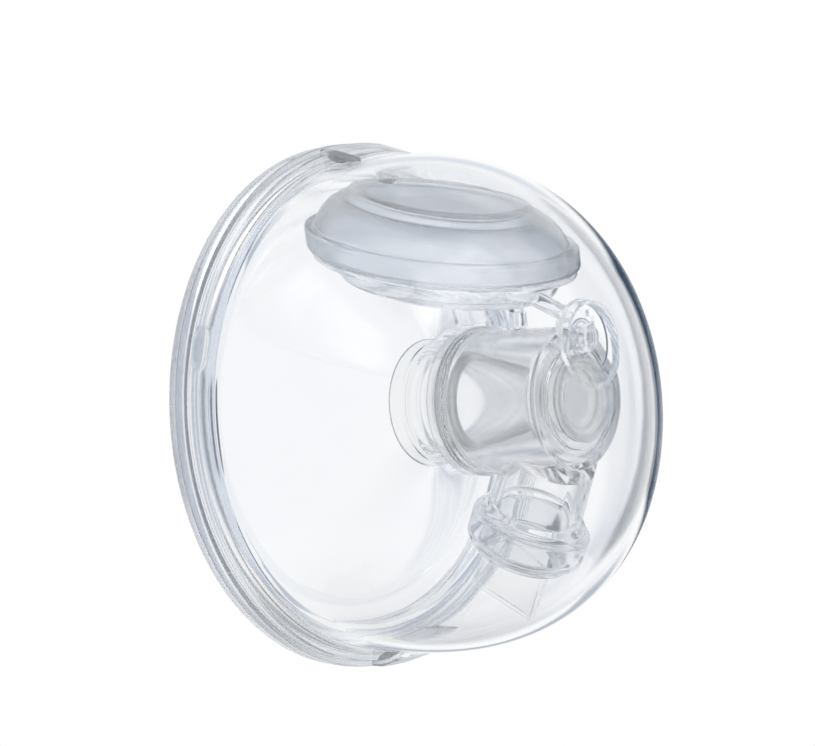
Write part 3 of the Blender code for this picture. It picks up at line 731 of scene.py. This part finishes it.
def build_tray():
    """The clear tray under the diaphragm."""
    outline = [(None, -8.4), (10.0, -8.4), (8.0, -7.6), (5.0, -3.8), (1.2, -3.8), (1.2, -2.6),
               (6.2, -2.6), (9.0, -6.8), (11.0, -7.2), (None, -7.2)]
    tray = add_object("diaphragm_tray", oval_mesh("diaphragm_tray", outline, 0.5), HAT_FRAME,
                      "clear_housing")
    hole = rod("tray_cut", DUCT_BORE_R, 15.0, 40.0, Matrix.Translation(point(DUCT_T, 0.0)), 24)
    apply_boolean(tray, [(hole, "DIFFERENCE")])
    register(tray, "clear_housing", "cup", "diaphragm_base")


def duct(name, start, end, outer, inner, node):
    """Straight clear tube between two (t, z) points on the middle plane."""
    first, last = point(*start), point(*end)
    length = (last - first).length / MM
    turn = (last - first).to_track_quat("Z", "Y").to_matrix().to_4x4()
    outline = [(outer, length), (outer, 0.0), (inner, 0.0), (inner, length)]
    piece(name, spun(name, outline, 40, 0.15), Matrix.Translation(first) @ turn, "clear_housing",
          "cup", node)


def strut(name, low, high, width, node):
    """A clear rib with rounded edges between two (t, z) points."""
    thick = 0.8
    work = bmesh.new()
    bmesh.ops.create_cube(work, size=1.0)
    for vert in work.verts:
        end = high if vert.co.z > 0 else low
        t = end[0] + (thick if vert.co.y < 0 else -thick)
        vert.co = point(t, end[1], width * vert.co.x)
    bmesh.ops.bevel(work, geom=work.edges[:], offset=0.0003, segments=2, affect="EDGES")
    piece(name, mesh_from(work, name), Matrix.Identity(4), "clear_housing", "cup", node)


def build_ducts():
    """The ducts and ribs between the tray, the housing and the port."""
    duct("suction_tube", (DUCT_T, 15.9), (DUCT_T, 19.2), 1.9, DUCT_BORE_R, "suction_duct")
    duct("air_tube", (62.6, 17.9), (55.0, 21.7), 1.7, 1.1, "air_duct")
    strut("rib_rear", (36.8, 17.0), (35.2, 24.4), 10.0, "base_bracket_rear")
    strut("rib_front", (44.6, 15.8), (41.4, 22.4), 4.0, "base_bracket_front")


def build_port():
    """The air nipple on its block."""
    back, front = PORT_BLOCK_T
    low = point(front, PORT_LOW.z, -PORT_BLOCK_HALF)
    high = point(back, PORT_HIGH.z, PORT_BLOCK_HALF)
    work = bmesh.new()
    bmesh.ops.create_cube(work, size=1.0)
    bmesh.ops.scale(work, vec=high - low, verts=work.verts)
    bmesh.ops.translate(work, vec=(high + low) / 2, verts=work.verts)
    upright = [e for e in work.edges if abs((e.verts[0].co - e.verts[1].co).y) > 0.001]
    bmesh.ops.bevel(work, geom=upright, offset=0.0016, segments=6, affect="EDGES")
    port = add_object("air_nipple", mesh_from(work, "air_nipple"), Matrix.Identity(4),
                      "clear_housing")
    tip = -PORT_LOW.y
    nipple = [(0.0, tip), (NIPPLE_R - 0.6, tip), (NIPPLE_R, tip - 1.2),
              (NIPPLE_NECK_R, tip - 1.5), (NIPPLE_NECK_R, tip - 4.0), (0.0, tip - 4.0)]
    tube = add_object("nipple", spun("nipple", nipple, 72, 0.3), PORTWARD)
    bore = rod("nipple_bore", NIPPLE_BORE_R, (back + front) / 2, 75.0, PORTWARD, 48)
    apply_boolean(port, [(tube, "UNION"), (bore, "DIFFERENCE")])
    coat(port, "clear_housing")
    register(port, "clear_housing", "cup", "air_port")


# ---------------------------------------------------------------- studio

def view_axes():
    """The camera's right, up and backward directions."""
    a, e, roll = (math.radians(v) for v in (VIEW_AZIMUTH, VIEW_ELEVATION, VIEW_ROLL))
    back = Vector((math.sin(a) * math.cos(e), -math.cos(a) * math.cos(e), math.sin(e)))
    right = Vector((math.cos(a), math.sin(a), 0.0))
    up = back.cross(right)
    return (right * math.cos(roll) - up * math.sin(roll),
            up * math.cos(roll) + right * math.sin(roll), back)


def build_camera():
    """Camera at the front left, a little above the middle."""
    right, up, back = view_axes()
    data = bpy.data.cameras.new("camera")
    data.sensor_width = SENSOR
    data.lens = LENS
    data.clip_start = 0.01
    camera = bpy.data.objects.new("camera", data)
    place = right * VIEW_OFFSET[0] + up * VIEW_OFFSET[1] + back * VIEW_DISTANCE
    turn = Matrix((right, up, back)).transposed().to_4x4()
    camera.matrix_world = Matrix.Translation(place) @ turn
    bpy.context.scene.collection.objects.link(camera)
    bpy.context.scene.camera = camera


def build_floor():
    """Plain white glowing floor below the object, with a soft painted shadow in its middle."""
    work = bmesh.new()
    bmesh.ops.create_circle(work, cap_ends=True, segments=96, radius=FLOOR_R)
    mat = bpy.data.materials.new("floor_white_painted_shadow")
    mat.use_nodes = True
    tree = mat.node_tree
    tree.nodes.clear()
    coords = add_node(tree, "ShaderNodeTexCoord")
    reach = add_node(tree, "ShaderNodeVectorMath", operation="LENGTH")
    tree.links.new(coords.outputs["Object"], reach.inputs[0])
    # Painted shadow: the floor's glow falls from white at its edge to about a third in its middle.
    painted_shadow = add_node(tree, "ShaderNodeMapRange", interpolation_type="SMOOTHSTEP")
    painted_shadow.inputs["From Min"].default_value = 0.02
    painted_shadow.inputs["From Max"].default_value = 0.2
    painted_shadow.inputs["To Min"].default_value = 0.32
    tree.links.new(reach.outputs["Value"], painted_shadow.inputs["Value"])
    glow = add_node(tree, "ShaderNodeEmission")
    tree.links.new(painted_shadow.outputs["Result"], glow.inputs["Color"])
    out = add_node(tree, "ShaderNodeOutputMaterial")
    tree.links.new(glow.outputs["Emission"], out.inputs["Surface"])
    floor = add_object("floor", mesh_from(work, "floor"), Matrix.Identity(4))
    floor.location.z = FLOOR_Z
    floor.data.materials.append(mat)


# Studio: directions are degrees to the right of straight behind the object, and degrees up.
# Each panel is (across, half width, up, half height, softness, colour).
PANELS = (
    (-27.0, 11.0, 0.0, 40.0, 6.0, (0.45, 0.50, 0.57)),
    (0.0, 26.0, -30.0, 9.0, 6.0, (0.46, 0.51, 0.58)),
    (0.0, 26.0, 22.0, 5.0, 5.0, (0.72, 0.76, 0.82)),
    (66.0, 10.0, 0.0, 45.0, 6.0, (0.30, 0.35, 0.43)),
    (20.5, 10.5, -3.0, 12.0, 3.0, (0.04, 0.07, 0.12)),
    (-78.0, 7.0, -3.0, 14.0, 3.0, (0.04, 0.07, 0.12)),
    (132.0, 30.0, 48.0, 12.0, 10.0, (2.4, 2.4, 2.4)),
)
HALO = (9.5, 12.5, (0.92, 0.935, 0.955))      # inner and outer angle from straight behind
SURROUND = (0.93, 0.94, 0.955)


def math_node(tree, operation, first, second=None):
    """A Math node fed by sockets or plain numbers; returns its output."""
    made = add_node(tree, "ShaderNodeMath", operation=operation)
    for slot, source in enumerate((first, second)):
        if isinstance(source, (int, float)):
            made.inputs[slot].default_value = source
        elif source is not None:
            tree.links.new(source, made.inputs[slot])
    return made.outputs["Value"]


def within(tree, value, middle, half, soft):
    """1 where a value is within half of the middle, falling smoothly to 0."""
    distance = math_node(tree, "ABSOLUTE", math_node(tree, "SUBTRACT", value, middle))
    edge = add_node(tree, "ShaderNodeMapRange", interpolation_type="SMOOTHSTEP")
    edge.inputs["From Min"].default_value = half - soft / 2
    edge.inputs["From Max"].default_value = half + soft / 2
    edge.inputs["To Min"].default_value = 1.0
    edge.inputs["To Max"].default_value = 0.0
    tree.links.new(distance, edge.inputs["Value"])
    return edge.outputs["Result"]


def blend_colour(tree, colour, factor, other):
    """Mix a colour socket or a plain colour towards another by a factor socket."""
    made = add_node(tree, "ShaderNodeMixRGB")
    tree.links.new(factor, made.inputs["Fac"])
    if isinstance(colour, tuple):
        made.inputs["Color1"].default_value = (*colour, 1.0)
    else:
        tree.links.new(colour, made.inputs["Color1"])
    made.inputs["Color2"].default_value = (*other, 1.0)
    return made.outputs["Color"]


def facing(tree, direction, axis):
    """How far the looked-at direction runs along an axis."""
    made = add_node(tree, "ShaderNodeVectorMath", operation="DOT_PRODUCT")
    made.inputs[1].default_value = axis
    tree.links.new(direction, made.inputs[0])
    return made.outputs["Value"]


def degrees_of(tree, operation, first, second=None):
    """An angle in degrees from an inverse trigonometric function."""
    return math_node(tree, "MULTIPLY", math_node(tree, operation, first, second),
                     math.degrees(1.0))


def build_world():
    """White studio with soft blue-grey panels beside, below and above the background."""
    world = bpy.data.worlds.new("studio")
    bpy.context.scene.world = world
    world.use_nodes = True
    tree = world.node_tree
    tree.nodes.clear()
    look = add_node(tree, "ShaderNodeTexCoord").outputs["Generated"]
    back = view_axes()[2]
    behind = Vector((-back.x, -back.y, 0.0)).normalized()
    beside = Vector((behind.y, -behind.x, 0.0))
    across = degrees_of(tree, "ARCTAN2", facing(tree, look, beside), facing(tree, look, behind))
    upward = degrees_of(tree, "ARCSINE", facing(tree, look, Vector((0, 0, 1))))
    off_axis = degrees_of(tree, "ARCCOSINE", facing(tree, look, -back))
    colour = blend_colour(tree, SURROUND, within(tree, off_axis, 0.0, 60.0, 30.0), (1.0, 1.0, 1.0))
    for side, half_wide, up, half_high, soft, tint in PANELS:
        factor = math_node(tree, "MULTIPLY", within(tree, across, side, half_wide, soft),
                           within(tree, upward, up, half_high, soft))
        colour = blend_colour(tree, colour, factor, tint)
    inner, outer, tint = HALO
    ring_factor = within(tree, off_axis, (inner + outer) / 2, (outer - inner) / 2, 2.0)
    colour = blend_colour(tree, colour, ring_factor, tint)
    path = add_node(tree, "ShaderNodeLightPath")
    colour = blend_colour(tree, colour, path.outputs["Is Camera Ray"], (1.0, 1.0, 1.0))
    background = add_node(tree, "ShaderNodeBackground")
    tree.links.new(colour, background.inputs["Color"])
    out = add_node(tree, "ShaderNodeOutputWorld")
    tree.links.new(background.outputs["Background"], out.inputs["Surface"])


def set_look():
    """Plain display transform, and enough bounces for nested clear walls."""
    scene = bpy.context.scene
    scene.view_settings.view_transform = "Standard"
    scene.cycles.max_bounces = 64
    scene.cycles.transmission_bounces = 64
    scene.cycles.glossy_bounces = 64
    scene.cycles.transparent_max_bounces = 16


build_camera()
build_shell()
build_shield()
build_insert()
build_housing()
build_rings()
build_collar()
build_lips()
build_diaphragm()
build_tray()
build_ducts()
build_port()
build_floor()
build_world()
set_look()
